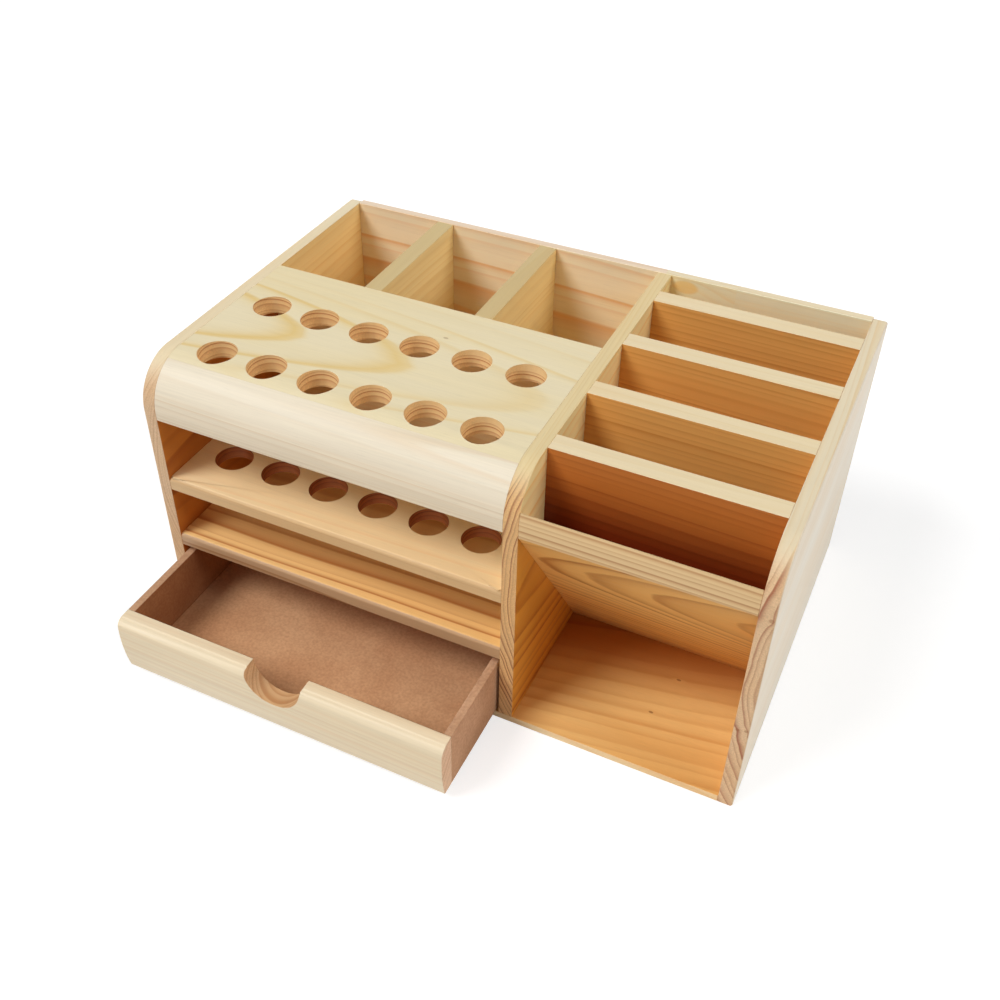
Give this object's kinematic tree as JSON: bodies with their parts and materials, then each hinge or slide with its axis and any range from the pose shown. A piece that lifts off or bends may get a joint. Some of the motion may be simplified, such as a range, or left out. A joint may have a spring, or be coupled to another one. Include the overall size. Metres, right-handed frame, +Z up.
{
  "type": "wooden desktop tool organiser with drawer",
  "caption": "Open pine desktop organiser with a drawer, shelves, bored tool racks over a curved front, rear compartments, upright slots and a slant-backed front bin.",
  "frame": {"origin": "centre of the cabinet's footprint on the surface it stands on, the drawer left out", "axes": "+Z up, -Y towards the open front where the drawer comes out, +X towards the slots and the bin"},
  "size_m": [0.32, 0.2654, 0.156],
  "materials": {
    "pine_panels": "sanded, clear matt",
    "pine_boards": "sanded, clear matt",
    "pine_drawer_front": "sanded, clear matt",
    "brown_fibreboard": "raw, dull"
  },
  "bodies": {
    "carcass": {"left_side_panel": "pine_panels", "right_side_panel": "pine_panels", "middle_panel": "pine_panels", "back_panel": "pine_panels", "base_board": "pine_boards", "top_board": "pine_boards", "front_apron": "pine_boards", "bored_shelf": "pine_boards", "plain_shelf": "pine_boards", "cross_wall": "pine_boards", "rear_divider_left": "pine_boards", "rear_divider_right": "pine_boards", "slot_divider_1": "pine_boards", "slot_divider_2": "pine_boards", "slot_divider_3": "pine_boards", "slot_divider_4": "pine_boards", "bin_slanted_board": "pine_boards"},
    "drawer": {"drawer_front": "pine_drawer_front", "drawer_left_side": "brown_fibreboard", "drawer_right_side": "brown_fibreboard", "drawer_back": "brown_fibreboard", "drawer_bottom": "brown_fibreboard"}
  },
  "joints": [
    {"name": "drawer_slide", "type": "slide", "parent": "carcass", "child": "drawer", "axis": [0, -1, 0], "range_m": [-0.059, 0.097]}
  ]
}
